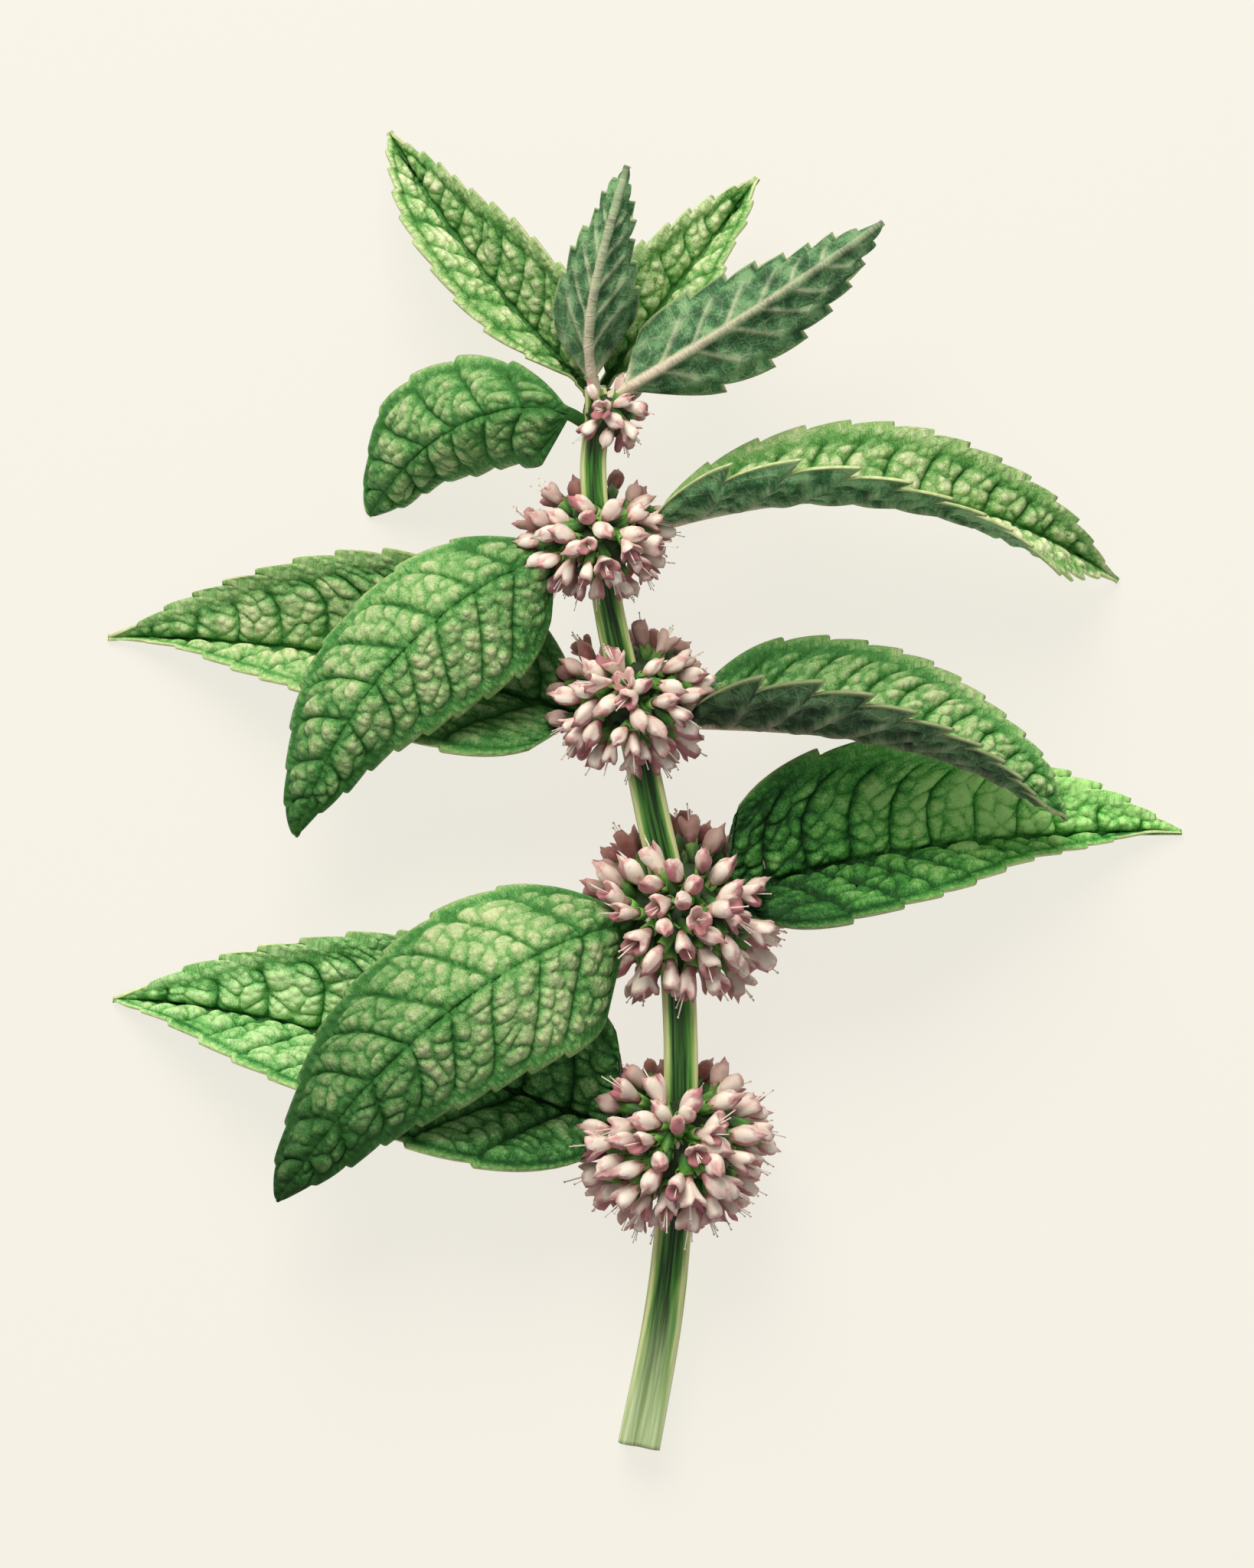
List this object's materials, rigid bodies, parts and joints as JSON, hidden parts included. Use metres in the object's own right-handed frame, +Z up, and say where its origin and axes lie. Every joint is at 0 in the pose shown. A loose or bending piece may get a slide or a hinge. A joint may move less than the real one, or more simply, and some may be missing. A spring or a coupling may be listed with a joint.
{
  "type": "mint sprig",
  "caption": "Cut flowering mint sprig lying on a surface: a square stem with rings of small pale flowers and toothed, quilted leaves.",
  "frame": {"origin": "middle of the sprig's footprint, on the surface that it lies on", "axes": "+Y along the sprig from the cut end of the stem to the youngest leaves, +Z up off the surface, +X to the right when seen from above with +Y ahead"},
  "size_m": [0.142, 0.1738, 0.0359],
  "materials": {
    "leaf_green": null,
    "stem_green": null,
    "flower_pink": null
  },
  "bodies": {
    "root": {"stem": "stem_green", "whorl_1": "flower_pink", "whorl_2": "flower_pink", "whorl_3": "flower_pink", "whorl_4": "flower_pink", "whorl_5": "flower_pink", "leaf_top_left": "leaf_green", "leaf_top_centre": "leaf_green", "leaf_top_back": "leaf_green", "leaf_top_right": "leaf_green", "leaf_top_drooping": "leaf_green", "leaf_2_right": "leaf_green", "leaf_2_left": "leaf_green", "leaf_3_left": "leaf_green", "leaf_3_right": "leaf_green", "leaf_4_right": "leaf_green", "leaf_4_left": "leaf_green", "leaf_5_left": "leaf_green"}
  },
  "joints": []
}
